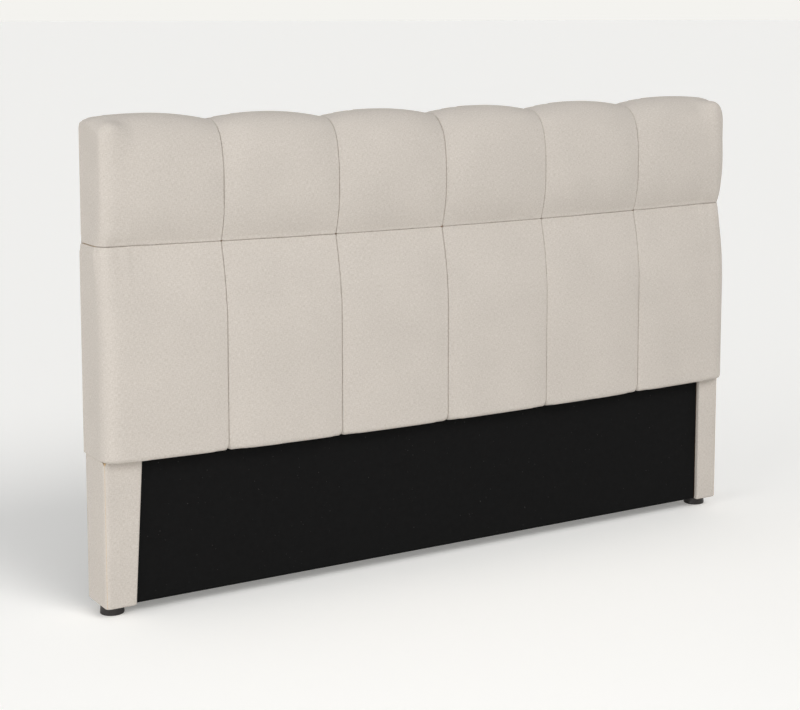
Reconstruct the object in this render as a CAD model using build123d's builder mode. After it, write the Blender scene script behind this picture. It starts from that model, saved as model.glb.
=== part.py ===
from build123d import *
from math import cos, radians, sin, sqrt
import os

# An upholstered headboard: a hollow box of boards with a padded front of six columns
# and two rows, a scalloped top, two covered legs and two low round feet.
# X runs across the bed, -Y is the padded front and Z is up, with the floor at zero.
# Sizes are in millimetres.

# Overall sizes
leg_span = 1658  # between the outer faces of the two covered legs
leg_depth = 102  # from the front of a covered leg to the back
leg_width = 62  # of the covered leg, seen from the front
foot_height = 22
pad_bottom_height = 336  # lower edge of the pads, at the ends
seam_height = 782  # seam between the two rows of pads, at the ends
valley_height = 1038  # the seams where they cross the top, at the ends
columns = 6

# Pads
lower_proud = 20  # lower pads in front of the legs, at their seams
lower_crown = 6  # and how much more in the middle of a pad
lower_rise = 200  # height in which a lower pad falls back to the seam above it
lower_edge_radius = 8
upper_proud = 10
upper_crown = 8
upper_rise_share = 0.4  # of an upper pad's height, up to where it is fullest
seam_recess = 8  # seam between the rows, behind the front of the legs
seam_gap = 0.5  # between two pads that meet at a seam
arch_rise = 15  # top of a pad above the valleys beside it
pad_sag = 9.5  # the pads hang this much lower in the middle of the bed
front_round_share = 0.8  # how squarely its front runs up into the round over the top
top_round_share = 0.8  # and the top into the same round
top_lift_share = 0.08  # rise of the top towards its middle
back_fall = 3  # top of a pad, down to its back edge
side_proud = 6  # end pads beyond the legs
corner_radius = 37  # upright corner of an end pad
seam_corner_radius = 24  # the same corner along the seam between the rows
end_drop = 18  # fall of the top at an end corner
side_notch = 3  # depth of the seam on the end faces
side_notch_height = 14
top_padding_share = 0.18  # of the upper row's height, foam over the frame
crown_power = 4  # how squarely the front of a pad fills its column
arch_power = 2  # and its top
crown_end_share = 0.5  # the crown falls this far towards an outer end
arch_end_share = 0.85  # and the top
station_shares = (-1, -0.85, -0.5, 0, 0.5, 0.85, 1)
meeting_share = 0.5  # of an end pad's half width, where its crown meets its corner
corner_steps = 3  # sections in the round of an end corner

# Boards and cloth
board = 18
thin_board = 3
cheek = 12  # board on the front of a leg
cover = 3  # cloth and wadding on a leg
lining = 0.6  # black cloth
lining_inset = 12  # edge of the back lining inside the outline
lining_gap = 0.5  # round the front lining, to the legs and the pads
board_chamfer = 12  # eased front edge of a side board, under the pad
leg_corner_radius = 10
leg_edge_radius = 5  # lower edges and inner corner of the cover on a leg
leg_gap = 2  # from the cover on a leg to the pad over it, at the ends
quarter_place = leg_span / 4  # of the two outer stiles, from the middle
foot_block_height = 30
glue_block = 45.73  # short sides of a glue block
glue_block_depth = 60

# Feet and screws
foot_setback = 48  # centre of a foot behind the front of the leg
foot_radius = 26
foot_top_radius = 24
foot_edge_radius = 2
foot_bore_radius = 7
foot_bore_depth = 12
screw_radius = 2
screw_core_radius = 1.6
screw_length = 50
screw_head_radius = 4
screw_head_height = 2.4
screw_spread = 50  # between the two screws of a joint
foot_screw_length = 35
foot_screw_head_radius = 5
foot_screw_head_height = 3
hole_clearance = 0.3
overrun = 5

# Levels from front to back
depth = leg_depth + lower_proud + lower_crown
back_y = depth / 2
leg_front_y = back_y - leg_depth
cheek_front_y = leg_front_y + cover
frame_front_y = cheek_front_y + cheek
panel_front_y = frame_front_y - thin_board
lining_front_y = panel_front_y - lining
shell_back_y = back_y - lining
frame_back_y = shell_back_y - thin_board
frame_depth = frame_back_y - frame_front_y
frame_middle_y = (frame_front_y + frame_back_y) / 2
seam_y = leg_front_y + seam_recess

# Levels across, from the middle
leg_outer_x = leg_span / 2
leg_inner_x = leg_outer_x - leg_width
frame_outer_x = leg_outer_x - cover
side_inner_x = frame_outer_x - board
cheek_inner_x = leg_inner_x + cover
stile_outer_x = cheek_inner_x + board
pad_end_x = leg_outer_x + side_proud
lining_end_x = leg_inner_x - lining_gap
column_width = leg_span / columns
foot_x = (side_inner_x + stile_outer_x) / 2
foot_y = leg_front_y + foot_setback

# Levels from the floor
frame_low_z = foot_height + cover
frame_top_z = valley_height - top_padding_share * (valley_height - seam_height)
top_low_z = frame_top_z - board
leg_top_z = pad_bottom_height - leg_gap
bottom_rail_z = frame_low_z + board / 2
pad_rail_z = pad_bottom_height
seam_rail_z = seam_height

low_middle = (Align.CENTER, Align.CENTER, Align.MIN)
sides = {"left": -1, "right": 1}

os.makedirs("parts", exist_ok=True)


def save(piece, name):
    """Labels a finished piece and writes its file."""
    piece.part.label = name
    export_step(piece.part, f"parts/{name}.step")


# Side boards, full height, with the front edge eased under the pads
top_screw_ys = [frame_middle_y - screw_spread / 2, frame_middle_y + screw_spread / 2]
pilot_depth = screw_length - board + hole_clearance

for side, sign in sides.items():
    middle_x = sign * (frame_outer_x - board / 2)
    with BuildPart() as side_board:
        with Locations((middle_x, frame_middle_y, frame_low_z)):
            Box(board, frame_depth, top_low_z - frame_low_z, align=low_middle)
        front_edge = side_board.edges().filter_by(Axis.Z).group_by(Axis.Y)[0]
        chamfer(front_edge.sort_by(Axis.X)[0 if sign < 0 else -1], length=board_chamfer)
        with Locations(*[(middle_x, y, top_low_z) for y in top_screw_ys]):
            Hole(screw_core_radius, depth=pilot_depth)
    save(side_board, f"{side}_side_board")

# Leg stiles, the inner boards of the two hollow uprights
rail_zs = [bottom_rail_z, pad_rail_z, seam_rail_z]

for side, sign in sides.items():
    middle_x = sign * (cheek_inner_x + board / 2)
    hole_plane = Plane(origin=(sign * stile_outer_x, 0, 0), x_dir=(0, 1, 0), z_dir=(sign, 0, 0))
    with BuildPart() as leg_stile:
        with Locations((middle_x, frame_middle_y, frame_low_z)):
            Box(board, frame_depth, top_low_z - frame_low_z, align=low_middle)
        with Locations(*[(middle_x, y, top_low_z) for y in top_screw_ys]):
            Hole(screw_core_radius, depth=pilot_depth)
        with Locations(hole_plane):
            with Locations(*[(y, sign * z) for y in top_screw_ys for z in rail_zs]):
                CounterSinkHole(screw_radius + hole_clearance, screw_head_radius + hole_clearance)
    save(leg_stile, f"{side}_leg_stile")

# Rails between the leg stiles
for name, middle_z in zip(["bottom_rail", "pad_rail", "seam_rail"], rail_zs):
    with BuildPart() as rail:
        with Locations((0, frame_middle_y, middle_z)):
            Box(2 * cheek_inner_x, frame_depth, board)
        for sign in sides.values():
            end = Plane(origin=(sign * cheek_inner_x, 0, 0), x_dir=(0, 1, 0), z_dir=(sign, 0, 0))
            with Locations(end):
                with Locations(*[(y, sign * middle_z) for y in top_screw_ys]):
                    Hole(screw_core_radius, depth=pilot_depth)
    save(rail, name)

# Top board over the uprights
stile_places = {"left": -quarter_place, "centre": 0, "right": quarter_place}
upright_xs = [frame_outer_x - board / 2, cheek_inner_x + board / 2]
top_screw_xs = [sign * x for sign in sides.values() for x in upright_xs] + list(stile_places.values())

with BuildPart() as top_board:
    with Locations((0, frame_middle_y, top_low_z)):
        Box(2 * frame_outer_x, frame_depth, board, align=low_middle)
    chamfer(top_board.edges().filter_by(Axis.Z).group_by(Axis.Y)[0], length=board_chamfer)
    with Locations(*[(x, y, frame_top_z) for x in top_screw_xs for y in top_screw_ys]):
        CounterSinkHole(screw_radius + hole_clearance, screw_head_radius + hole_clearance)
save(top_board, "top_board")

# Short stiles between the rails, three in each row
stile_rows = {
    "base": (bottom_rail_z + board / 2, pad_rail_z - board / 2),
    "lower": (pad_rail_z + board / 2, seam_rail_z - board / 2),
    "upper": (seam_rail_z + board / 2, top_low_z),
}

for row, (low_z, high_z) in stile_rows.items():
    for place, x in stile_places.items():
        with BuildPart() as stile:
            with Locations((x, frame_middle_y, low_z)):
                Box(board, frame_depth, high_z - low_z, align=low_middle)
            if row == "upper":
                with Locations(*[(x, y, high_z) for y in top_screw_ys]):
                    Hole(screw_core_radius, depth=pilot_depth)
        save(stile, f"{place}_{row}_stile")

# Cheeks on the front of the legs, and the blocks that the feet are screwed to
foot_pilot_depth = foot_screw_length - (foot_height - foot_bore_depth) - cover + hole_clearance

for side, sign in sides.items():
    with BuildPart() as leg_cheek:
        with Locations((sign * (cheek_inner_x + frame_outer_x) / 2, cheek_front_y + cheek / 2, frame_low_z)):
            Box(frame_outer_x - cheek_inner_x, cheek, leg_top_z - frame_low_z, align=low_middle)
    save(leg_cheek, f"{side}_leg_cheek")

    with BuildPart() as foot_block:
        with Locations((sign * foot_x, frame_middle_y, frame_low_z)):
            Box(side_inner_x - stile_outer_x, frame_depth, foot_block_height, align=low_middle)
        with Locations(Plane(origin=(sign * foot_x, foot_y, frame_low_z), z_dir=(0, 0, -1))):
            Hole(screw_core_radius, depth=foot_pilot_depth)
    save(foot_block, f"{side}_foot_block")

# Thin boards: behind the pads, behind the black front cloth, and over the whole back
with BuildPart() as face_board:
    with Locations((0, panel_front_y + thin_board / 2, pad_rail_z)):
        Box(
            2 * (frame_outer_x - board_chamfer),
            thin_board,
            frame_top_z - pad_rail_z,
            align=low_middle,
        )
save(face_board, "face_board")

with BuildPart() as lower_board:
    with Locations((0, panel_front_y + thin_board / 2, frame_low_z)):
        Box(2 * cheek_inner_x, thin_board, pad_rail_z - frame_low_z, align=low_middle)
save(lower_board, "lower_board")

with BuildPart() as back_board:
    with Locations((0, frame_back_y + thin_board / 2, frame_low_z)):
        Box(2 * frame_outer_x, thin_board, frame_top_z - frame_low_z, align=low_middle)
save(back_board, "back_board")

# Glue blocks in the corners between the leg stiles and what crosses them
corner_rows = [
    (bottom_rail_z + board / 2, 1),
    (pad_rail_z - board / 2, -1),
    (pad_rail_z + board / 2, 1),
    (top_low_z, -1),
]

with BuildPart() as glue_blocks:
    for sign in sides.values():
        for corner_z, up in corner_rows:
            with BuildSketch(Plane.XZ.offset(-frame_middle_y)):
                with BuildLine():
                    Polyline(
                        (sign * cheek_inner_x, corner_z),
                        (sign * (cheek_inner_x - glue_block), corner_z),
                        (sign * cheek_inner_x, corner_z + up * glue_block),
                        close=True,
                    )
                make_face()
    extrude(amount=glue_block_depth / 2, both=True)
save(glue_blocks, "glue_blocks")

# Countersunk screws down through the top board
with BuildPart() as top_screw:
    with BuildSketch(Plane.XZ):
        with BuildLine():
            Polyline(
                (0, frame_top_z),
                (screw_head_radius, frame_top_z),
                (screw_core_radius, frame_top_z - screw_head_height),
                (screw_core_radius, frame_top_z - screw_length + screw_radius),
                (0, frame_top_z - screw_length),
                close=True,
            )
        make_face()
    revolve(axis=Axis.Z)

with BuildPart() as top_screws:
    with Locations(*[(x, y, 0) for x in top_screw_xs for y in top_screw_ys]):
        add(top_screw.part)
save(top_screws, "top_screws")

# The same screws through the leg stiles into the ends of the rails
with BuildPart() as rail_screws:
    for sign in sides.values():
        for z in rail_zs:
            for y in top_screw_ys:
                with BuildSketch(Plane(origin=(0, y, z), z_dir=(0, 1, 0), x_dir=(sign, 0, 0))):
                    with BuildLine():
                        Polyline(
                            (stile_outer_x, 0),
                            (stile_outer_x, screw_head_radius),
                            (stile_outer_x - screw_head_height, screw_core_radius),
                            (stile_outer_x - screw_length + screw_radius, screw_core_radius),
                            (stile_outer_x - screw_length, 0),
                            close=True,
                        )
                    make_face()
                revolve(axis=Axis((0, y, z), (1, 0, 0)))
save(rail_screws, "rail_screws")

# Feet with a bore from below, and the screws that hold them
for side, sign in sides.items():
    with BuildPart() as foot:
        with BuildSketch(Plane.XZ.offset(-foot_y)):
            with BuildLine():
                FilletPolyline(
                    (sign * foot_x, 0),
                    (sign * foot_x + foot_radius, 0),
                    (sign * foot_x + foot_top_radius, foot_height),
                    radius=foot_edge_radius,
                )
                Polyline(
                    (sign * foot_x + foot_top_radius, foot_height),
                    (sign * foot_x, foot_height),
                    (sign * foot_x, 0),
                )
            make_face()
        revolve(axis=Axis((sign * foot_x, foot_y, 0), (0, 0, 1)))
        with Locations(Plane(origin=(sign * foot_x, foot_y, 0), z_dir=(0, 0, -1))):
            CounterBoreHole(screw_radius + hole_clearance, foot_bore_radius, foot_bore_depth)
    save(foot, f"{side}_foot")

with BuildPart() as foot_screws:
    with Locations(*[(sign * foot_x, foot_y, foot_bore_depth) for sign in sides.values()]):
        Cylinder(
            foot_screw_head_radius,
            foot_screw_head_height,
            align=(Align.CENTER, Align.CENTER, Align.MAX),
        )
        Cylinder(screw_core_radius, foot_screw_length, align=low_middle)
save(foot_screws, "foot_screws")

# Covers on the legs: open at the back and the top, closed below
for side, sign in sides.items():
    with BuildPart() as leg_sleeve:
        with BuildSketch(Plane.XY.offset(foot_height)) as leg_plan:
            with Locations((sign * (leg_inner_x + leg_outer_x) / 2, (leg_front_y + shell_back_y) / 2)):
                Rectangle(leg_width, shell_back_y - leg_front_y)
            front_corners = leg_plan.vertices().group_by(Axis.Y)[0].sort_by(Axis.X)
            outer_corner = front_corners[0 if sign < 0 else -1]
            inner_corner = front_corners[-1 if sign < 0 else 0]
            fillet(outer_corner, radius=leg_corner_radius)
            fillet(inner_corner, radius=leg_edge_radius)
        extrude(amount=leg_top_z - foot_height)
        low_edges = leg_sleeve.faces().sort_by(Axis.Z)[0].edges()
        fillet(low_edges.group_by(Axis.Y)[:-1], radius=leg_edge_radius / 2)
        with Locations((sign * (cheek_inner_x + frame_outer_x) / 2, cheek_front_y, frame_low_z)):
            Box(
                frame_outer_x - cheek_inner_x,
                leg_depth,
                leg_top_z,
                align=(Align.CENTER, Align.MIN, Align.MIN),
                mode=Mode.SUBTRACT,
            )
        with Locations((sign * cheek_inner_x, panel_front_y, frame_low_z)):
            Box(
                2 * cover + overrun,
                leg_depth,
                leg_top_z,
                align=(Align.CENTER, Align.MIN, Align.MIN),
                mode=Mode.SUBTRACT,
            )
        with Locations((sign * foot_x, foot_y, frame_low_z)):
            Hole(screw_radius + hole_clearance)
    save(leg_sleeve, f"{side}_leg_sleeve")

# The pads follow one set of curves across the bed, so that neighbours meet at their seams
def fallen(distance, reach, fall):
    """How far a rounded edge has fallen back, at a distance inside its end."""
    share = min(1, 1 - distance / reach)
    return fall * (1 - sqrt(1 - share**2)) if share > 0 else 0


def end_distance(x):
    """Distance from the nearer end face of the pads."""
    return pad_end_x - abs(x)


def sag(x):
    """How much lower the pads hang at x than at the ends."""
    return pad_sag * (1 - (x / leg_outer_x) ** 2)


def swell(x, column, power, end_share):
    """Share of a column's crown at x: none at its seams and all in its middle."""
    middle = (column + 0.5) * column_width - leg_outer_x
    place = abs(x - middle) / (column_width / 2)
    if abs(x) > leg_outer_x - column_width / 2:
        place = place * end_share
    return 1 - place**power


def front_at(x, column, proud, crown):
    """Depth of a pad's front."""
    flat = leg_front_y - proud - crown * swell(x, column, crown_power, crown_end_share)
    return flat + fallen(end_distance(x), corner_radius, corner_radius)


def seam_at(x):
    """Depth of the seam between the rows."""
    return seam_y + fallen(end_distance(x) - side_notch, seam_corner_radius, seam_corner_radius)


def top_at(x, column):
    """Height of a pad's top."""
    arch = valley_height + arch_rise * swell(x, column, arch_power, arch_end_share) - sag(x)
    return arch - fallen(end_distance(x), corner_radius, end_drop)


def spans(column):
    """Places across the bed where a pad's sections are drawn, from left to right.

    An end pad has two spans, one across its crown and one round its corner.
    """
    middle = (column + 0.5) * column_width - leg_outer_x
    half = (column_width - seam_gap) / 2
    places = [middle + half * share for share in station_shares]
    if column not in (0, columns - 1):
        return [places]
    outward = -1 if column == 0 else 1
    meeting_x = middle + outward * half * meeting_share
    crown_places = [meeting_x] + [x for x in places if outward * x < outward * meeting_x]
    corner_x = outward * (pad_end_x - corner_radius)
    corner_places = [meeting_x, (meeting_x + corner_x) / 2]
    for step in range(corner_steps + 1):
        turn = radians(step * 90 / corner_steps)
        corner_places.append(outward * (pad_end_x - corner_radius * (1 - cos(turn))))
    return [sorted(crown_places), sorted(corner_places)]


# Black cloth: the front lining goes under the bottom rail to meet the back lining
lining_top_z = pad_bottom_height - lining_gap

with BuildPart() as front_lining:
    with BuildSketch(Plane.XZ.offset(-panel_front_y)):
        with BuildLine():
            ThreePointArc(
                (-lining_end_x, lining_top_z - sag(lining_end_x)),
                (0, lining_top_z - sag(0)),
                (lining_end_x, lining_top_z - sag(lining_end_x)),
            )
            Polyline(
                (lining_end_x, lining_top_z - sag(lining_end_x)),
                (lining_end_x, frame_low_z - lining),
                (-lining_end_x, frame_low_z - lining),
                (-lining_end_x, lining_top_z - sag(lining_end_x)),
            )
        make_face()
    extrude(amount=lining)
    with Locations((0, panel_front_y, frame_low_z - lining)):
        Box(
            2 * lining_end_x,
            shell_back_y - panel_front_y,
            lining,
            align=(Align.CENTER, Align.MIN, Align.MIN),
        )
save(front_lining, "front_lining")

with BuildPart() as back_lining:
    with Locations((0, shell_back_y, frame_low_z - lining)):
        Box(
            2 * (leg_outer_x - lining_inset),
            lining,
            frame_top_z - lining_inset - frame_low_z + lining,
            align=(Align.CENTER, Align.MIN, Align.MIN),
        )
save(back_lining, "back_lining")

# Space that the frame fills behind and below the pads
with BuildPart() as frame_space:
    with BuildSketch() as frame_plan:
        with Locations((0, panel_front_y)):
            Rectangle(2 * frame_outer_x, leg_depth, align=(Align.CENTER, Align.MIN))
        chamfer(frame_plan.vertices().group_by(Axis.Y)[0], length=board_chamfer)
    extrude(amount=frame_top_z)

# Grooves that the seam between the rows draws into the end faces
with BuildPart() as seam_grooves:
    for sign in sides.values():
        with BuildSketch(Plane.XZ.offset(-shell_back_y)):
            with BuildLine():
                Polyline(
                    (sign * (pad_end_x + overrun), seam_height - side_notch_height),
                    (sign * pad_end_x, seam_height - side_notch_height),
                    (sign * (pad_end_x - side_notch), seam_height),
                    (sign * pad_end_x, seam_height + side_notch_height),
                    (sign * (pad_end_x + overrun), seam_height + side_notch_height),
                    close=True,
                )
            make_face()
    extrude(amount=depth)

for column in range(columns):
    # Lower pad: round lower edge, upright front, drawn in to the seam above
    with BuildPart() as lower_pad:
        for span in spans(column):
            for x in span:
                low_z = pad_bottom_height - sag(x)
                high_z = seam_height - sag(x) - seam_gap / 2
                front_y = front_at(x, column, lower_proud, lower_crown)
                with BuildSketch(Plane.YZ.offset(x)):
                    with BuildLine():
                        Line((shell_back_y, low_z), (front_y + lower_edge_radius, low_z))
                        TangentArc(
                            (front_y + lower_edge_radius, low_z),
                            (front_y, low_z + lower_edge_radius),
                            tangent=(-1, 0),
                        )
                        Line((front_y, low_z + lower_edge_radius), (front_y, high_z - lower_rise))
                        TangentArc((front_y, high_z - lower_rise), (seam_at(x), high_z), tangent=(0, 1))
                        Line((seam_at(x), high_z), (shell_back_y, high_z))
                        Line((shell_back_y, high_z), (shell_back_y, low_z))
                    make_face()
            loft()
        add(frame_space.part, mode=Mode.SUBTRACT)
        if column in (0, columns - 1):
            add(seam_grooves.part, mode=Mode.SUBTRACT)
    save(lower_pad, f"lower_pad_{column + 1}")

    # Upper pad: swells from the seam below and rolls over the top to the back
    with BuildPart() as upper_pad:
        for span in spans(column):
            for x in span:
                low_z = seam_height - sag(x) + seam_gap / 2
                front_y = front_at(x, column, upper_proud, upper_crown)
                high_z = top_at(x, column)
                rise_z = low_z + upper_rise_share * (high_z - low_z)
                top_y = shell_back_y - top_round_share * (shell_back_y - front_y)
                with BuildSketch(Plane.YZ.offset(x)):
                    with BuildLine():
                        Line((shell_back_y, low_z), (seam_at(x), low_z))
                        TangentArc(
                            (front_y, rise_z),
                            (seam_at(x), low_z),
                            tangent=(0, -1),
                        )
                        Bezier(
                            (front_y, rise_z),
                            (front_y, rise_z + front_round_share * (high_z - rise_z)),
                            (top_y, high_z + top_lift_share * (high_z - rise_z)),
                            (shell_back_y, high_z - back_fall),
                        )
                        Line((shell_back_y, high_z - back_fall), (shell_back_y, low_z))
                    make_face()
            loft()
        add(frame_space.part, mode=Mode.SUBTRACT)
        if column in (0, columns - 1):
            add(seam_grooves.part, mode=Mode.SUBTRACT)
    save(upper_pad, f"upper_pad_{column + 1}")
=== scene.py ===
# %% [markdown]
# # An upholstered headboard
# The real object is a hollow box of boards under a padded front: six columns and two rows of
# panels in a plain linen weave, two covered legs, black cloth below and behind, and two low feet.
# The CAD model holds the boards and the space of every pad. This lesson loads it as a fixed
# frame and dresses it, piece by piece, in metres and in the same place.

# %% The frame
import math

import bmesh
import bpy
import numpy as np
from mathutils import Matrix, Vector


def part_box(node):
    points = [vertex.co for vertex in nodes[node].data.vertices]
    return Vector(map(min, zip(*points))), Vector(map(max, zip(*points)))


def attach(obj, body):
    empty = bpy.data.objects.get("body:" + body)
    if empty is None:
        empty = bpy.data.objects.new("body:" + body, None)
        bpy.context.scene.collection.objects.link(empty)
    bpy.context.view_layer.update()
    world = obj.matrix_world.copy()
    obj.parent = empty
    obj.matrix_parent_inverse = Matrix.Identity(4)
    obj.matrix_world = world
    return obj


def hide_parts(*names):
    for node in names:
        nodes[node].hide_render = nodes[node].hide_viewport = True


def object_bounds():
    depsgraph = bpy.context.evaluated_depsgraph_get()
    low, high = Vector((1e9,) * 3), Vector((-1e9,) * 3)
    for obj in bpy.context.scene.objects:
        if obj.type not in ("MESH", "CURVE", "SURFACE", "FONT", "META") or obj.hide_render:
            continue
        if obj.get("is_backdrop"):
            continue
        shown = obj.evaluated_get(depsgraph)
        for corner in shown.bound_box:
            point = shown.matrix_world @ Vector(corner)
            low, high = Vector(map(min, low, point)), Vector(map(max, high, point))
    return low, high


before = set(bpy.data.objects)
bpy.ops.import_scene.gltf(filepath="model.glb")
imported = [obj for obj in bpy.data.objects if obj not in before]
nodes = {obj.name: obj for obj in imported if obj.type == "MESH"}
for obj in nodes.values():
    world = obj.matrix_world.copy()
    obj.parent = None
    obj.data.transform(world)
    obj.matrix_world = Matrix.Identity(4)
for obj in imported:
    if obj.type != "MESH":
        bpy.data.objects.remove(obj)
cad_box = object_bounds()
scene = bpy.context.scene
print(len(nodes), "CAD nodes,", [round(size, 3) for size in cad_box[1] - cad_box[0]], "m")

# %% [markdown]
# ## The camera
# The photograph looks at the left end from a little above the top. A long lens keeps the two
# ends nearly the same height. Part of the downward view is a vertical shift of the lens instead of
# a tilt of the camera, so the uprights stay nearly parallel.

# %% Camera
def add_object(name, content):
    """Puts a mesh, a lamp or a camera in the scene as an object of that name."""
    made = bpy.data.objects.new(name, content)
    scene.collection.objects.link(made)
    return made


picture_width = 800
focal_pixels = 1721.2  # the focal length, in pixels of the picture
tilt_down = 0.11826  # in radians, as is the turn
turn_right = 0.54419

lens = bpy.data.cameras.new("camera")
lens.sensor_width = 36
lens.lens = focal_pixels * lens.sensor_width / picture_width
lens.shift_y = -0.17
camera = add_object("camera", lens)
camera.location = (-2.094, -3.3033, 1.2511)
camera.rotation_euler = (math.pi / 2 - tilt_down, 0, -turn_right)
scene.camera = camera
print("lens", round(lens.lens, 1), "mm")

# %% [markdown]
# ## Colours and nodes
# Every finish below is a short chain of nodes, with its colours written as sRGB hex values.
# Blender counts light in linear steps, so one function turns a hex value into linear ones. Another
# adds a node and sets or links its sockets from a table, so that a chain reads from top to
# bottom.

# %% Colours and nodes
def linear(text):
    """An sRGB hex colour as the linear values that Blender works in."""
    parts = [int(text[i : i + 2], 16) / 255 for i in (1, 3, 5)]
    return [c / 12.92 if c <= 0.04045 else ((c + 0.055) / 1.055) ** 2.4 for c in parts] + [1]


def set_sockets(tree, node, values):
    """Sets the named sockets of a node, or links them where the value is another socket."""
    for name, value in values.items():
        if isinstance(value, bpy.types.NodeSocket):
            tree.links.new(value, node.inputs[name])
        else:
            node.inputs[name].default_value = value


def add_node(tree, kind, settings=None, inputs=None):
    """Adds a node, sets its options, and sets or links its sockets."""
    made = tree.nodes.new(kind)
    for name, value in (settings or {}).items():
        setattr(made, name, value)
    set_sockets(tree, made, inputs or {})
    return made


background = "#f4f3ef"
scene.view_settings.view_transform = "Standard"
print("background", [round(part, 3) for part in linear(background)[:3]])

# %% [markdown]
# ## The light
# A plain studio: an even pale surround, and one soft high light in front, a little to the right,
# which lays the shadow behind the headboard. A low soft light from the left brightens the end
# face, and a lamp in front of the left end makes that end the brighter one.

# %% Surround
surround_strength = 0.40
surround = bpy.data.worlds.new("surround")
scene.world = surround
surround.use_nodes = True
tree = surround.node_tree
tree.nodes.clear()
rays = add_node(tree, "ShaderNodeLightPath")
seen = add_node(
    tree,
    "ShaderNodeMath",
    {"operation": "MAXIMUM"},
    {0: rays.outputs["Is Camera Ray"], 1: rays.outputs["Is Glossy Ray"]},
)
seen = add_node(
    tree,
    "ShaderNodeMath",
    {"operation": "MAXIMUM"},
    {0: seen.outputs[0], 1: rays.outputs["Is Transmission Ray"]},
)
fill_light = add_node(
    tree,
    "ShaderNodeBackground",
    None,
    {"Color": linear("#f6f7fa"), "Strength": surround_strength},
)
backdrop = add_node(tree, "ShaderNodeBackground", None, {"Color": linear(background), "Strength": 1})
chosen = add_node(
    tree,
    "ShaderNodeMixShader",
    None,
    {0: seen.outputs[0], 1: fill_light.outputs[0], 2: backdrop.outputs[0]},
)
add_node(tree, "ShaderNodeOutputWorld", None, {"Surface": chosen.outputs[0]})
print("surround at a strength of", surround_strength)

# %% Lamps
def add_lamp(name, kind, energy, place, aim, **settings):
    """A lamp at a place that points to another one."""
    data = bpy.data.lights.new(name, kind)
    data.energy = energy
    for setting, value in settings.items():
        setattr(data, setting, value)
    lamp = add_object(name, data)
    lamp.location = place
    lamp.rotation_euler = (Vector(aim) - lamp.location).to_track_quat("-Z", "Y").to_euler()
    print(name, round(data.energy, 2))


middle = (0, 0, 0.5)
add_lamp(
    "high_light", "SUN", energy=1.25, place=(0.784, -2.912, 3.124), aim=middle, angle=math.radians(28)
)
add_lamp(
    "left_light", "SUN", energy=1.9, place=(-3.95, -0.4, 1.06), aim=middle, angle=math.radians(50)
)
add_lamp(
    "left_lamp", "AREA", energy=13, place=(-1.4, -2.6, 1.0), aim=(-0.5, 0, 0.6), shape="DISK", size=1.2
)

# %% [markdown]
# ## The floor
# The floor is pale and plain, and belongs to the studio. The camera sees a little of the
# background's own colour on top of the lit paper, so that the floor meets the surround without a
# line and still keeps the headboard's soft shadow.

# %% Paper
def new_material(name):
    """A material with one Principled surface, and its node tree."""
    material = bpy.data.materials.new(name)
    material.use_nodes = True
    tree = material.node_tree
    tree.nodes.clear()
    surface = tree.nodes.new("ShaderNodeBsdfPrincipled")
    add_node(tree, "ShaderNodeOutputMaterial", None, {"Surface": surface.outputs[0]})
    return material, tree, surface


floor_glow = 0.215  # the share of the background's colour that the camera sees on top

paper, tree, surface = new_material("matt_paper_floor")
set_sockets(
    tree,
    surface,
    {"Base Color": linear("#f5f4f1"), "Roughness": 1, "Specular IOR Level": 0},
)
rays = add_node(tree, "ShaderNodeLightPath")
strength = add_node(
    tree,
    "ShaderNodeMath",
    {"operation": "MULTIPLY"},
    {0: rays.outputs["Is Camera Ray"], 1: floor_glow},
)
glow = add_node(
    tree,
    "ShaderNodeEmission",
    None,
    {"Color": linear(background), "Strength": strength.outputs[0]},
)
mixed = add_node(tree, "ShaderNodeAddShader", None, {0: surface.outputs[0], 1: glow.outputs[0]})
output = next(node for node in tree.nodes if node.type == "OUTPUT_MATERIAL")
set_sockets(tree, output, {"Surface": mixed.outputs[0]})
print("paper glows at", floor_glow)

# %% Floor
def mesh_from(shape, name):
    """A mesh of that name from a bmesh, which is freed."""
    mesh = bpy.data.meshes.new(name)
    shape.to_mesh(mesh)
    shape.free()
    return mesh


floor_reach = 300  # metres each way, so that its far edge meets the surround

shape = bmesh.new()
bmesh.ops.create_grid(shape, x_segments=1, y_segments=1, size=floor_reach)
floor = add_object("floor", mesh_from(shape, "floor"))
floor.data.materials.append(paper)
floor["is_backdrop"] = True
print("floor of", 2 * floor_reach, "m")

# %% [markdown]
# ## The cover cloth
# A plain weave of linen yarn in greige, matt, with slubs where the yarn is thicker. The threads
# cross over and under about once a millimetre, too fine for the picture, so they are drawn 1.6
# times as coarse. Slubs run along both threads, and a slow drift of tone keeps the large
# faces from looking painted. The pattern reads the cloth's own UV map, laid in metres.

# %% Linen threads
thread = 0.0016  # from one thread to the next
band = 2 * math.pi / 20  # one band of a Wave texture at scale 1

linen, tree, surface = new_material("woven_linen_greige")
weave_place = add_node(tree, "ShaderNodeUVMap", {"uv_map": "weave"}).outputs["UV"]
threads = [
    add_node(
        tree,
        "ShaderNodeTexWave",
        {"wave_type": "BANDS", "bands_direction": direction, "wave_profile": "SIN"},
        {
            "Vector": weave_place,
            "Scale": band / thread,
            "Distortion": 1.4,
            "Detail": 2,
            "Detail Scale": 0.6,
        },
    ).outputs["Fac"]
    for direction in ("X", "Y")
]
weave = add_node(
    tree,
    "ShaderNodeMath",
    {"operation": "MAXIMUM"},
    {0: threads[0], 1: threads[1]},
).outputs[0]
print("threads drawn", thread * 1000, "mm apart")

# %% Linen slubs
slub_width, slub_length = 0.0015, 0.007

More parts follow.
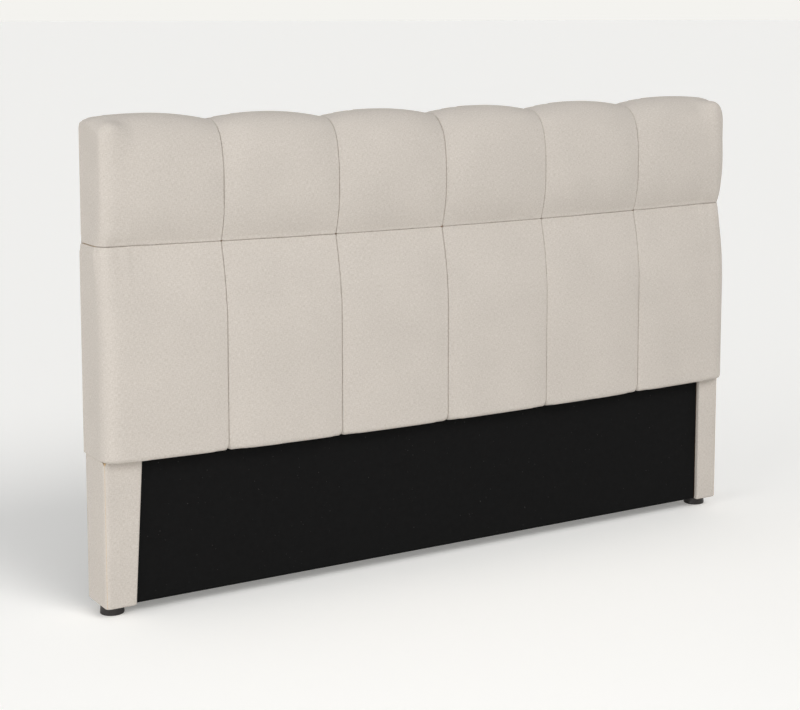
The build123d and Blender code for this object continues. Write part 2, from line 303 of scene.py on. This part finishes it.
slubs = []
for scale in (
    (1 / slub_width, 1 / slub_length, 1),
    (1 / slub_length, 1 / slub_width, 1),
):
    stretched = add_node(tree, "ShaderNodeMapping", None, {"Vector": weave_place, "Scale": scale})
    slubs.append(
        add_node(
            tree,
            "ShaderNodeTexNoise",
            None,
            {"Vector": stretched.outputs[0], "Scale": 1, "Detail": 3, "Roughness": 0.6},
        ).outputs["Fac"]
    )
slub = add_node(tree, "ShaderNodeMath", {"operation": "ADD"}, {0: slubs[0], 1: slubs[1]}).outputs[0]
slub = add_node(
    tree,
    "ShaderNodeMapRange",
    None,
    {"Value": slub, "From Min": 0.7, "From Max": 1.3, "To Min": 0, "To Max": 1},
).outputs[0]
print("slubs of", slub_length * 1000, "mm")

# %% Linen colour
# In a Mix node of colours, socket 0 is the share, and 6 and 7 are the colours.
drift_size = 0.12
painted_gap_shade = 0.10  # how much painted shade darkens the gaps between the threads

drift = add_node(
    tree,
    "ShaderNodeTexNoise",
    None,
    {"Vector": weave_place, "Scale": 1 / drift_size, "Detail": 2, "Roughness": 0.5},
).outputs["Fac"]

shade = add_node(
    tree,
    "ShaderNodeMix",
    {"data_type": "RGBA"},
    {0: slub, 6: linear("#c0b7ac"), 7: linear("#d9d2ca")},
).outputs[2]
# Painted shade: the gaps between the threads are darkened by up to a tenth, as if shade fell between
# them.
shade = add_node(
    tree,
    "ShaderNodeMix",
    {"data_type": "RGBA", "blend_type": "MULTIPLY"},
    {0: painted_gap_shade, 6: shade, 7: weave},
).outputs[2]
drift = add_node(
    tree,
    "ShaderNodeMapRange",
    None,
    {"Value": drift, "From Min": 0.3, "From Max": 0.7, "To Min": 0.955, "To Max": 1},
).outputs[0]
shade = add_node(
    tree,
    "ShaderNodeMix",
    {"data_type": "RGBA", "blend_type": "MULTIPLY"},
    {0: 1.0, 6: shade, 7: drift},
).outputs[2]
print("drift of tone over", drift_size * 1000, "mm")

# %% Linen surface
slub_rise = 0.8  # a slub's height, where a thread's is 1

height = add_node(
    tree,
    "ShaderNodeMath",
    {"operation": "MULTIPLY_ADD"},
    {0: slub, 1: slub_rise, 2: weave},
).outputs[0]
relief = add_node(tree, "ShaderNodeBump", None, {"Height": height, "Strength": 0.35, "Distance": 0.0003})
set_sockets(
    tree,
    surface,
    {
        "Base Color": shade,
        "Normal": relief.outputs[0],
        "Roughness": 0.93,
        "Specular IOR Level": 0.2,
        "Sheen Weight": 0.12,
        "Sheen Roughness": 0.6,
        "Sheen Tint": linear("#efe9e1"),
    },
)
print("linen of", len(tree.nodes), "nodes")

# %% [markdown]
# ## The black cloth
# The cloth below the pads and over the back is a spunbonded non-woven: short black fibres
# pressed together in a grid of fine points, matt, with a little lint on it. The points are about
# 1 mm apart in the real cloth and drawn 2.5 mm apart here.

# %% Non-woven
point_spacing = 0.0025
fibre_clump = 0.012
lint_size = 0.004

black_cloth, tree, surface = new_material("spunbonded_black_cloth")
here = add_node(tree, "ShaderNodeTexCoord").outputs["Object"]
points = add_node(
    tree,
    "ShaderNodeTexVoronoi",
    {"feature": "F1"},
    {"Vector": here, "Scale": 1 / point_spacing, "Randomness": 0.15},
).outputs["Distance"]
fibres = add_node(
    tree,
    "ShaderNodeTexNoise",
    None,
    {"Vector": here, "Scale": 1 / fibre_clump, "Detail": 6, "Roughness": 0.7},
).outputs["Fac"]
lint = add_node(
    tree,
    "ShaderNodeTexNoise",
    None,
    {"Vector": here, "Scale": 1 / lint_size, "Detail": 1},
).outputs["Fac"]
lint = add_node(
    tree,
    "ShaderNodeMapRange",
    None,
    {"Value": lint, "From Min": 0.775, "From Max": 0.82, "To Min": 0, "To Max": 0.22},
).outputs[0]
shade = add_node(
    tree,
    "ShaderNodeMix",
    {"data_type": "RGBA"},
    {0: fibres, 6: linear("#0b0b0b"), 7: linear("#161616")},
).outputs[2]
shade = add_node(
    tree,
    "ShaderNodeMix",
    {"data_type": "RGBA"},
    {0: lint, 6: shade, 7: linear("#8d8a85")},
).outputs[2]
height = add_node(tree, "ShaderNodeMath", {"operation": "ADD"}, {0: points, 1: fibres}).outputs[0]
relief = add_node(tree, "ShaderNodeBump", None, {"Height": height, "Strength": 0.4, "Distance": 0.0003})
set_sockets(
    tree,
    surface,
    {"Base Color": shade, "Normal": relief.outputs[0], "Roughness": 0.9, "Specular IOR Level": 0.1},
)
print("points drawn", point_spacing * 1000, "mm apart")

# %% [markdown]
# ## Boards and blocks
# The frame is chipboard with hardboard faces, and softwood blocks in the corners. Most of it is
# out of sight, but a view into a gap should still meet the right stuff. Chipboard shows flakes a
# few millimetres across, hardboard a fine brown felt, and softwood its growth rings as long
# stripes.

# %% Chipboard
flake = 0.004
dust_size = 0.0015
flake_contrast = 0.6

chipboard, tree, surface = new_material("raw_chipboard")
here = add_node(tree, "ShaderNodeTexCoord").outputs["Object"]
flakes = add_node(
    tree,
    "ShaderNodeTexVoronoi",
    {"feature": "F1"},
    {"Vector": here, "Scale": 1 / flake, "Randomness": 1},
)
dust = add_node(
    tree,
    "ShaderNodeTexNoise",
    None,
    {"Vector": here, "Scale": 1 / dust_size, "Detail": 3},
).outputs["Fac"]
tone = add_node(tree, "ShaderNodeRGBToBW", None, {0: flakes.outputs["Color"]}).outputs[0]
tone = add_node(
    tree,
    "ShaderNodeMath",
    {"operation": "MULTIPLY_ADD"},
    {0: tone, 1: flake_contrast, 2: dust},
).outputs[0]
shade = add_node(
    tree,
    "ShaderNodeMix",
    {"data_type": "RGBA"},
    {0: tone, 6: linear("#a88358"), 7: linear("#d6b98c")},
).outputs[2]
relief = add_node(tree, "ShaderNodeBump", None, {"Height": tone, "Strength": 0.3, "Distance": 0.0002})
set_sockets(tree, surface, {"Base Color": shade, "Normal": relief.outputs[0], "Roughness": 0.8})
print("flakes of", flake * 1000, "mm")

# %% Hardboard
felt_size = 0.003

hardboard, tree, surface = new_material("pressed_hardboard")
here = add_node(tree, "ShaderNodeTexCoord").outputs["Object"]
felt = add_node(
    tree,
    "ShaderNodeTexNoise",
    None,
    {"Vector": here, "Scale": 1 / felt_size, "Detail": 5, "Roughness": 0.7},
).outputs["Fac"]
shade = add_node(
    tree,
    "ShaderNodeMix",
    {"data_type": "RGBA"},
    {0: felt, 6: linear("#6b4a2e"), 7: linear("#94704a")},
).outputs[2]
relief = add_node(tree, "ShaderNodeBump", None, {"Height": felt, "Strength": 0.2, "Distance": 0.0002})
set_sockets(tree, surface, {"Base Color": shade, "Normal": relief.outputs[0], "Roughness": 0.6})
print("felt of", felt_size * 1000, "mm")

# %% Softwood
ring_spacing = 0.005

softwood, tree, surface = new_material("sawn_softwood")
here = add_node(tree, "ShaderNodeTexCoord").outputs["Object"]
rings = add_node(
    tree,
    "ShaderNodeTexWave",
    {"wave_type": "BANDS", "bands_direction": "Z"},
    {"Vector": here, "Scale": band / ring_spacing, "Distortion": 3, "Detail": 2, "Detail Scale": 0.4},
).outputs["Fac"]
shade = add_node(
    tree,
    "ShaderNodeMix",
    {"data_type": "RGBA"},
    {0: rings, 6: linear("#c79a62"), 7: linear("#e2c391")},
).outputs[2]
relief = add_node(tree, "ShaderNodeBump", None, {"Height": rings, "Strength": 0.2, "Distance": 0.0002})
set_sockets(tree, surface, {"Base Color": shade, "Normal": relief.outputs[0], "Roughness": 0.75})
print("growth rings", ring_spacing * 1000, "mm apart")

# %% [markdown]
# ## Steel and plastic
# The screws and staples are zinc-plated steel, a bright grey whose shine varies a little, because
# the plating doesn't settle evenly. The feet are moulded plastic, nearly black, with the satin of
# a spark-eroded mould and the dull marks of use. That mould's grain is about 0.1 mm, too fine to
# show, so it is drawn twelve times as coarse.

# %% Zinc-plated steel
plating_size = 0.002

zinc, tree, surface = new_material("zinc_plated_steel")
here = add_node(tree, "ShaderNodeTexCoord").outputs["Object"]
plating = add_node(
    tree,
    "ShaderNodeTexNoise",
    None,
    {"Vector": here, "Scale": 1 / plating_size, "Detail": 3},
).outputs["Fac"]
roughness = add_node(
    tree,
    "ShaderNodeMapRange",
    None,
    {"Value": plating, "From Min": 0.3, "From Max": 0.7, "To Min": 0.28, "To Max": 0.42},
).outputs[0]
set_sockets(tree, surface, {"Base Color": linear("#c6c5bf"), "Metallic": 1, "Roughness": roughness})
print("plating that varies over", plating_size * 1000, "mm")

# %% Satin plastic
grain_size = 0.0012
scuff_size = 0.015

moulded, tree, surface = new_material("moulded_satin_plastic")
here = add_node(tree, "ShaderNodeTexCoord").outputs["Object"]
grain = add_node(
    tree,
    "ShaderNodeTexNoise",
    None,
    {"Vector": here, "Scale": 1 / grain_size, "Detail": 3, "Roughness": 0.6},
).outputs["Fac"]
scuffs = add_node(
    tree,
    "ShaderNodeTexNoise",
    None,
    {"Vector": here, "Scale": 1 / scuff_size, "Detail": 4, "Roughness": 0.7},
).outputs["Fac"]
shade = add_node(
    tree,
    "ShaderNodeMix",
    {"data_type": "RGBA"},
    {0: scuffs, 6: linear("#171413"), 7: linear("#26211f")},
).outputs[2]
roughness = add_node(
    tree,
    "ShaderNodeMapRange",
    None,
    {"Value": scuffs, "From Min": 0.3, "From Max": 0.7, "To Min": 0.26, "To Max": 0.4},
).outputs[0]
relief = add_node(tree, "ShaderNodeBump", None, {"Height": grain, "Strength": 0.15, "Distance": 0.0002})
set_sockets(
    tree,
    surface,
    {"Base Color": shade, "Roughness": roughness, "Normal": relief.outputs[0], "IOR": 1.5},
)
print("plastic grain of", grain_size * 1000, "mm")

# %% [markdown]
# ## Dressing the CAD's own pieces
# The boards, blocks, screws and feet already have the right shapes, so they only get their
# finishes. The soft solids are replaced further down.

# %% Finishes of the frame
finishes = {
    "board": chipboard,
    "rail": chipboard,
    "stile": chipboard,
    "cheek": chipboard,
    "block": softwood,
    "blocks": softwood,
    "screws": zinc,
    "foot": moulded,
}
thin_boards = ("face_board", "lower_board", "back_board")
for name, node in nodes.items():
    if name in thin_boards:
        finish = hardboard
    elif "lining" in name:
        finish = black_cloth
    else:
        finish = finishes.get(name.split("_")[-1], linen)
    node.data.materials.clear()
    node.data.materials.append(finish)
print("finished", len(nodes), "nodes")

# %% [markdown]
# ## The padded panels
# Each panel is foam under one cut of cloth, sewn to its neighbours. The CAD solid gives its
# space. A copy of it is remeshed into even quads, laid back on the solid's surface, and its rows
# of points along the seams are gathered onto them, because a remesh rounds them off. Then air
# pressure swells the cloth between the seams that hold it, and a cap keeps every point near the
# solid.

# %% Levels that the seams follow
columns = 6
leg_outer = 0.829
seam_height = 0.782  # at the ends, of the seam between the rows
seam_gap = 0.0005  # between the solids of two neighbouring pads
seam_sag = 0.0095  # how much lower the seams hang in the middle than at the ends
column_width = 2 * leg_outer / columns
frame_front = -0.026  # the boards that the pads lie on
frame_top = 0.992
pad_front = -0.056  # the pads' own front and top
pad_top = 1.037


def sag(x):
    """How much lower the seams hang at x than at the ends."""
    return seam_sag * (1 - (x / leg_outer) ** 2)


print("columns of", round(column_width * 1000, 1), "mm")

# %% Helpers for meshes
def points_of(mesh):
    """The places of a mesh's vertices, one row each."""
    places = np.zeros(len(mesh.vertices) * 3)
    mesh.vertices.foreach_get("co", places)
    return places.reshape(-1, 3)


def normals_of(mesh):
    """The directions that a mesh's vertices face, one row each."""
    normals = np.zeros(len(mesh.vertices) * 3)
    mesh.vertices.foreach_get("normal", normals)
    return normals.reshape(-1, 3)


def put_points(mesh, places):
    """Moves a mesh's vertices to new places."""
    mesh.vertices.foreach_set("co", places.ravel())
    mesh.update()


def bake(piece):
    """Applies every modifier of a piece to its mesh."""
    ready = piece.evaluated_get(bpy.context.evaluated_depsgraph_get())
    mesh = bpy.data.meshes.new_from_object(ready)
    piece.modifiers.clear()
    piece.data = mesh


print("helpers for meshes")

# %% Even copy of a solid
voxel = 0.005  # the size of a quad
weld = 1e-5  # corners of the solid's triangles that are nearer than this are one
closed_up = 0.0006  # quads that the laying has made smaller than this are merged
sliver = 0.0001  # and what is left thinner than this is dissolved
looks_back = 0.9  # a face whose normal's y is above this looks back at the frame
level = 0.0003  # how far a face may lie from the frame's front and still be on it


def even_copy(node, name, size, backing=0):
    """A closed copy of a CAD solid in even quads that lie on the solid's surface.

    A backing thickens the thin edge of a pad while it is remeshed, so that none of it is lost.
    """
    mesh = node.data.copy()
    mesh.name = name
    shape = bmesh.new()
    shape.from_mesh(mesh)
    bmesh.ops.remove_doubles(shape, verts=shape.verts, dist=weld)
    inner = [
        face
        for face in shape.faces
        if face.normal.y > looks_back and abs(face.verts[0].co.y - frame_front) < level
    ]
    for point in {point for face in inner for point in face.verts}:
        point.co.y += backing
    shape.to_mesh(mesh)
    shape.free()
    piece = add_object(name, mesh)
    even = piece.modifiers.new("even quads", "REMESH")
    even.mode = "VOXEL"
    even.voxel_size = size
    lay = piece.modifiers.new("lay on the solid", "SHRINKWRAP")
    lay.target = node
    lay.wrap_method = "NEAREST_SURFACEPOINT"
    bake(piece)
    shape = bmesh.new()
    shape.from_mesh(piece.data)
    bmesh.ops.remove_doubles(shape, verts=shape.verts, dist=closed_up)
    bmesh.ops.dissolve_degenerate(shape, dist=sliver, edges=shape.edges)
    shape.to_mesh(piece.data)
    shape.free()
    return piece


print("even quads of", voxel * 1000, "mm")

# %% [markdown]
# ## The seams and the tight ends
# On the real pads two cuts of cloth meet in one smooth line of stitches. Two remeshed copies
# don't, because each rounds off its own rim, so the rims of both neighbours are laid on one
# smooth curve: a depth for each height in the lower row, and in the upper row a radius for each
# angle, because there the seam rolls over the top. The cloth is also pulled tight round the two
# ends, which leaves the groove between the rows shallower and the front top corner squarer
# there.

# %% Smooth seams
seam_smoothing = 0.012  # the length of lower seam that each point is smoothed over
roll_smoothing = 0.15  # the angle of upper seam, in radians
roll_y, roll_z = 0.02, 0.90  # the axis that the upper seams roll about
on_edge = 1e-6  # points this near a seam are on it
sideways = 0.93  # points whose normal's x is above this are hidden between the panels
clear = 0.004  # and so are those that are nearer the frame than this
tiny = 1e-9  # keeps a division from meeting 0


def on_one_line(along, across, width):
    """Replaces each value by a weighted parabola through its neighbours, so the row runs smooth."""
    smooth = across.copy()
    for i, place in enumerate(along):
        step = along - place
        weight = np.exp(-0.5 * (step / width) ** 2)
        smooth[i] = np.polyfit(step, across, 2, w=np.sqrt(weight))[-1]
    return smooth


def rim_points(panel, edge):
    """The points of a panel that lie on a sewn edge and are seen from outside."""
    places = points_of(panel.data)
    rim = (abs(places[:, 0] - edge) < on_edge) & (abs(normals_of(panel.data)[:, 0]) < sideways)
    rim &= (places[:, 1] < frame_front - clear) | (places[:, 2] > frame_top + clear)
    return np.nonzero(rim)[0]


def even_seam(pair, row):
    """Lays the rims of two neighbours on one smooth curve."""
    rims = [rim_points(panel, edge) for panel, edge in pair]
    stacked = np.concatenate([points_of(panel.data)[rim] for (panel, edge), rim in zip(pair, rims)])
    if row == "lower":
        stacked[:, 1] = on_one_line(stacked[:, 2], stacked[:, 1], seam_smoothing)
    else:
        depth, rise = stacked[:, 1] - roll_y, stacked[:, 2] - roll_z
        turn, radius = np.arctan2(rise, -depth), np.hypot(depth, rise)
        radius = on_one_line(turn, radius, roll_smoothing)
        stacked[:, 1], stacked[:, 2] = roll_y - radius * np.cos(turn), roll_z + radius * np.sin(turn)
    used = 0
    for (panel, edge), rim in zip(pair, rims):
        places = points_of(panel.data)
        places[rim, 1:] = stacked[used : used + len(rim), 1:]
        used += len(rim)
        put_points(panel.data, places)


print("seams rolled about", (roll_y, roll_z))

# %% Tight ends
tight_start, tight_run = 0.745, 0.06  # how far out the cloth starts to tighten, and over what width
groove_fill = 0.012  # how much shallower the groove gets
groove_half = 0.035  # half the height of the groove
face_start, face_run = 0.02, 0.03  # how far forward the filling starts, and over what depth
corner_low, corner_rise = 0.93, 0.115  # where the rounded top begins, and how high it goes
squareness = 5  # 2 leaves the corner round
flat_end = 0.8275  # what bulges further out than this
drawn_in = 0.6  # loses this share of it


def nearness_to_end(places):
    """From 0, well inside an end column, smoothly to 1 near the end face."""
    share = np.clip((abs(places[:, 0]) - tight_start) / tight_run, 0, 1)
    return share * share * (3 - 2 * share)


def shallow_groove(places):
    """Makes the groove between the rows shallower near an end, where the cloth is pulled tight."""
    seam_share = np.exp(-(((places[:, 2] - seam_height) / groove_half) ** 2))
    front_share = np.clip((-places[:, 1] - face_start) / face_run, 0, 1)
    places[:, 1] -= groove_fill * nearness_to_end(places) * seam_share * front_share


def square_end(places):
    """Fills the rounded front top corner near an end, where the cloth is folded over a stiff edge."""
    near_end = nearness_to_end(places)
    ahead = np.maximum(0, -places[:, 1]) / -pad_front
    above = np.maximum(0, places[:, 2] - corner_low) / corner_rise
    corner = (ahead > 0) & (above > 0)
    round_size = np.hypot(ahead, above)
    square_size = (ahead**squareness + above**squareness) ** (1 / squareness)
    grow = np.where(corner, round_size / np.maximum(square_size, tiny), 1)
    grow = 1 + (grow - 1) * near_end
    places[corner, 1] *= grow[corner]
    places[corner, 2] = corner_low + (places[corner, 2] - corner_low) * grow[corner]
    beyond = np.maximum(0, abs(places[:, 0]) - flat_end)
    places[:, 0] -= np.sign(places[:, 0]) * drawn_in * beyond


print("ends tight from", tight_start, "m out")

# %% Cut and gather the panels
def column_edges(column):
    """Where a column's seams are, from left to right. The outer ends have none."""
    left = column * column_width - leg_outer + seam_gap / 2
    right = (column + 1) * column_width - leg_outer - seam_gap / 2
    return (None if column == 0 else left), (None if column == columns - 1 else right)


gather = 0.6 * voxel  # rows of points this near a seam are put on it
thick_edge = 0.03  # thicker than a quad, so the remesh keeps a pad's thin edge

panels = []
for row in ("lower", "upper"):
    for column in range(columns):
        node = nodes[f"{row}_pad_{column + 1}"]
        panel = even_copy(node, f"{row}_panel_{column + 1}", voxel, backing=thick_edge)
        places = points_of(panel.data)
        seam_z = seam_height - sag(places[:, 0]) + seam_gap / 2 * (1 if row == "upper" else -1)
        near = abs(places[:, 2] - seam_z) < gather
        places[near, 2] = seam_z[near]
        for edge in column_edges(column):
            if edge is not None:
                near = abs(places[:, 0] - edge) < gather
                places[near, 0] = edge
        if column in (0, columns - 1):
            shallow_groove(places)
            if row == "upper":
                square_end(places)
        put_points(panel.data, places)
        panels.append((panel, node, row, column))
for (panel, _, row, column), (neighbour, *_) in zip(panels, panels[1:]):
    if column < columns - 1:
        even_seam([(panel, column_edges(column)[1]), (neighbour, column_edges(column + 1)[0])], row)
print(len(panels), "panels,", sum(len(p[0].data.vertices) for p in panels), "points")

# %% Where the cloth is held
sewn = 0.003  # the cloth is held this near a seam between columns
sewn_row = 0.004  # and this near the one between the rows
pressed = 0.002  # what lies this near the frame is pressed to it
end_inside = 0.8265  # the frame's end boards, just inside the cloth
stapled = 0.060  # behind this the cloth is flat on the frame
pad_low, pad_edge = 0.3365, 0.0005  # the pads' lower edge, and the height of it that is held


def held_points(places, row, column):
    """Which points are sewn, stapled or lie against the boards."""
    x, y, z = places.T
    held = (y > frame_front - pressed) & (z < frame_top + pressed) & (abs(x) < end_inside)
    held |= y > stapled
    held |= abs(z - seam_height + sag(x)) < sewn_row
    if row == "lower":
        held |= z < pad_low - sag(x) + pad_edge
    for edge in column_edges(column):
        if edge is not None:
            held |= abs(x - edge) < sewn
    return held


print("cloth held within", sewn * 1000, "mm of a seam")

# %% Swell the panels
reach = 0.004  # the furthest that a point may move
slack = 0.0018  # how far the cloth starts inside the solid
steps = 20
cloth_settings = {
    "quality": 4,
    "mass": 0.35,
    "tension_stiffness": 25,
    "compression_stiffness": 25,
    "shear_stiffness": 12,
    "bending_stiffness": 2.5,
    "shrink_min": -0.012,  # below 0 the cloth grows, which leaves it a little loose
    "use_pressure": True,
    "uniform_pressure_force": 4,
    "vertex_group_mass": "held",
}

starts = {}
for panel, node, row, column in panels:
    places = points_of(panel.data)
    starts[panel.name] = places.copy()
    held = held_points(places, row, column)
    places[~held] -= slack * normals_of(panel.data)[~held]
    put_points(panel.data, places)
    group = panel.vertex_groups.new(name="held")
    group.add([int(i) for i in np.nonzero(held)[0]], 1, "REPLACE")
    cloth = panel.modifiers.new("cloth", "CLOTH")
    for setting, value in cloth_settings.items():
        setattr(cloth.settings, setting, value)
    cloth.settings.effector_weights.gravity = 0
    cloth.point_cache.frame_start = 1
    cloth.point_cache.frame_end = steps
for step in range(1, steps + 1):
    scene.frame_set(step)
for panel, _, _, column in panels:
    bake(panel)
    places = points_of(panel.data)
    moved = places - starts[panel.name]
    far = np.linalg.norm(moved, axis=1)
    limit = np.minimum(1, reach / np.maximum(far, tiny))
    put_points(panel.data, starts[panel.name] + moved * limit[:, None])
    if column in (0, 2):
        mean, most = round(far.mean() * 1000, 2), round(far.max() * 1000, 2)
        print(panel.name, "moved", mean, "to", most, "mm")
scene.frame_set(1)

# %% Lay the weave
over_start, over_run = 0.05, 0.03  # how far below the top the weave starts to turn, and its run


def lay_weave(piece, turn, front, top):
    """A UV map in metres that follows the cloth round an end corner and over the top."""
    mesh = piece.data
    places = points_of(mesh)
    x, y, z = places.T
    behind = np.maximum(0, y - front)
    over = np.clip((z - (top - over_start)) / over_run, 0, 1)
    corners = np.zeros(len(mesh.loops), dtype=np.int32)
    mesh.loops.foreach_get("vertex_index", corners)
    laid = np.stack([x + turn * behind, z + over * behind], axis=1)[corners]
    layer = mesh.uv_layers.get("weave") or mesh.uv_layers.new(name="weave")
    layer.data.foreach_set("uv", laid.ravel())


print("weave turns over the top from", over_start * 1000, "mm below it")

# %% Finish the panels
def finish_cover(piece, turn, front):
    """Linen, a weave, smooth rounded faces, and a place on the frame."""
    lay_weave(piece, turn, front, pad_top)
    piece.data.materials.clear()
    piece.data.materials.append(linen)
    for face in piece.data.polygons:
        face.use_smooth = True
    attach(piece, "root")
    round_off = piece.modifiers.new("round off", "SUBSURF")
    round_off.levels = round_off.render_levels = 1


for panel, node, row, column in panels:
    finish_cover(panel, {0: -1, columns - 1: 1}.get(column, 0), pad_front)
    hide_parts(node.name)
print("panels in linen")

# %% [markdown]
# ## The legs' covers
# Cloth over thin wadding, drawn tight round each leg and stapled beneath. The left one's inner
# edge leans, because the cloth was pulled over the black lining by eye. Each upper edge is
# pressed against the pad above, so that no bare board shows between them.

# %% Leg covers
foot_height = 0.022
leg_top = 0.334
leg_inner = 0.767
leg_front = -0.038
cover_voxel = 0.003
pulled = {"left": (0.024, 0.006), "right": (0.0, 0.0)}  # inner edge past the board, top and bottom
pull_width = 0.05  # the cloth moves with the inner edge over this width
board_front = -0.0262  # only the cloth in front of this moves
top_edge, top_squeeze = 0.0015, 0.003  # the height of edge at the top, and how far up it is pressed
back_edge, back_flush = 0.0605, 0.0636  # where the edge behind begins, and where it is put

for side, sign in (("left", -1), ("right", 1)):
    node = nodes[f"{side}_leg_sleeve"]
    cover = even_copy(node, f"{side}_leg_cover", cover_voxel)
    places = points_of(cover.data)
    inward = np.clip(1 - abs(places[:, 0] - sign * leg_inner) / pull_width, 0, 1)
    ahead = places[:, 1] < board_front
    rise = (places[:, 2] - foot_height) / (leg_top - foot_height)
    high, low = pulled[side]
    places[:, 0] -= sign * (low + (high - low) * rise) * inward * ahead
    places[places[:, 2] > leg_top - top_edge, 2] = leg_top + top_squeeze
    places[places[:, 1] > back_edge, 1] = back_flush
    put_points(cover.data, places)
    ease = cover.modifiers.new("ease", "SMOOTH")
    ease.factor = 0.5
    ease.iterations = 3
    bake(cover)
    finish_cover(cover, sign, leg_front)
    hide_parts(node.name)
print("two leg covers")

# %% [markdown]
# ## The black linings
# One strip of non-woven is stretched between the legs and goes under the bottom rail. A second
# sheet closes the whole back. Both are thin and pulled flat, so each is one surface of even
# cells that is bent along straight lines.

# %% Linings
def bent_sheet(name, low_x, high_x, path, cells):
    """A sheet between two uprights that follows a path of (depth, height) corners."""
    path = np.array(path)
    along = np.concatenate(([0], np.cumsum(np.linalg.norm(np.diff(path, axis=0), axis=1))))
    rows = np.round(along / along[-1] * cells[1]) / cells[1]  # every corner falls on a row of points
    shape = bmesh.new()
    bmesh.ops.create_grid(shape, x_segments=cells[0], y_segments=cells[1], size=0.5)
    mesh = mesh_from(shape, name)
    places = points_of(mesh)
    across, up = places[:, 0] + 0.5, np.interp(places[:, 1] + 0.5, rows, along)
    places[:, 0] = low_x + across * (high_x - low_x)
    places[:, 1] = np.interp(up, along, path[:, 0])
    places[:, 2] = np.interp(up, along, path[:, 1])
    put_points(mesh, places)
    for face in mesh.polygons:
        face.use_smooth = True
    piece = add_object(name, mesh)
    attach(piece, "root")
    return piece, (high_x - low_x, along[-1])


front_low, front_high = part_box("front_lining")
back_low, back_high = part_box("back_lining")
hair = 0.0002  # how far the front sheet stands off the solid
under, before = front_low.z - hair, front_low.y - hair
front_cloth, front_flat = bent_sheet(
    "front_cloth",
    front_low.x,
    front_high.x,
    path=[(front_high.y, under), (before, under), (before, front_high.z)],
    cells=(180, 60),
)
back_cloth, back_flat = bent_sheet(
    "back_cloth",
    back_low.x,
    back_high.x,
    path=[(back_high.y, back_low.z), (back_high.y, back_high.z)],
    cells=(160, 100),
)
for piece, flat, node, board in (
    (front_cloth, front_flat, "front_lining", "lower_board"),
    (back_cloth, back_flat, "back_lining", "back_board"),
):
    piece.data.materials.append(black_cloth)
    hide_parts(node)
print("two linings")

# %% [markdown]
# ## The turned-in edges and the staples
# The cover cloth comes round the ends and over the top, and is turned in under the edge of the
# black lining. Only a narrow band of it shows, flat on the back board. A row of wire staples
# fixes the lining. They are far below the size that the picture shows, but a view of the back
# should have them.

# %% Turned-in edges
cover_edge = 0.8285
turn_in = 0.0225
top_margin = 0.0015  # how far the band stands above the frame
leg_margin = 0.002  # and how far it ends above the legs' lower edge
beside, above_all = 1, 2  # limits beyond the piece, so that the weave lies flat
band_y = (back_high.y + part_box("back_board")[1].y) / 2
band_top = frame_top + top_margin
band_low = band_top - turn_in
leg_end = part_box("left_leg_sleeve")[0].z + leg_margin
for name, low_x, high_x, low_z, high_z, cells in (
    ("top_turned_edge", -cover_edge, cover_edge, band_low, band_top, (160, 3)),
    ("left_turned_edge", -cover_edge, turn_in - cover_edge, leg_end, band_low, (3, 90)),
    ("right_turned_edge", cover_edge - turn_in, cover_edge, leg_end, band_low, (3, 90)),
):
    piece, flat = bent_sheet(name, low_x, high_x, [(band_y, low_z), (band_y, high_z)], cells)
    lay_weave(piece, turn=0, front=beside, top=above_all)
    piece.data.materials.append(linen)
    print(name, [round(side * 1000, 1) for side in flat], "mm")

# %% Staples
staple_size = Vector((0.010, 0.0012, 0.0008))
staple_spacing = 0.062
staple_inset = 0.006
staple_skew = 7  # degrees either way, because they are fired by hand
wire_rounding = 0.00025
wobble = np.random.default_rng(7)


def add_staples(shape, start, stop):
    """A row of staple crowns from one corner of the lining to the next."""
    run = stop - start
    count = round(run.length / staple_spacing)
    for i in range(count):
        turn = math.atan2(run.z, run.x) + math.radians(wobble.uniform(-staple_skew, staple_skew))
        place = Matrix.Translation(start + run * (i + 0.5) / count) @ Matrix.Rotation(-turn, 4, "Y")
        sizes = Matrix.Diagonal((staple_size.x, staple_size.z, staple_size.y, 1))
        bmesh.ops.create_cube(shape, size=1, matrix=place @ sizes)


inset = Vector((staple_inset, 0, staple_inset))
low = Vector((back_low.x, back_high.y + staple_size.z / 2, back_low.z)) + inset
high = Vector((back_high.x, low.y, back_high.z)) - inset
corners = [low, Vector((high.x, low.y, low.z)), high, Vector((low.x, low.y, high.z))]
shape = bmesh.new()
for start, stop in zip(corners, corners[1:] + corners[:1]):
    add_staples(shape, start, stop)
bmesh.ops.bevel(
    shape,
    geom=shape.edges[:],
    offset=wire_rounding,
    segments=2,
    profile=0.5,
    affect="EDGES",
    material=-1,
)
bmesh.ops.recalc_face_normals(shape, faces=shape.faces[:])
staples = add_object("lining_staples", mesh_from(shape, "lining_staples"))
staples.data.materials.append(zinc)
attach(staples, "root")
print("staples of", len(staples.data.polygons), "faces in all")

# %% The sizes, for comparison
visual_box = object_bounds()
for corner in (0, 1):
    off = [round((visual_box[corner][i] - cad_box[corner][i]) * 1000, 1) for i in range(3)]
    print(off, "mm off the CAD box")
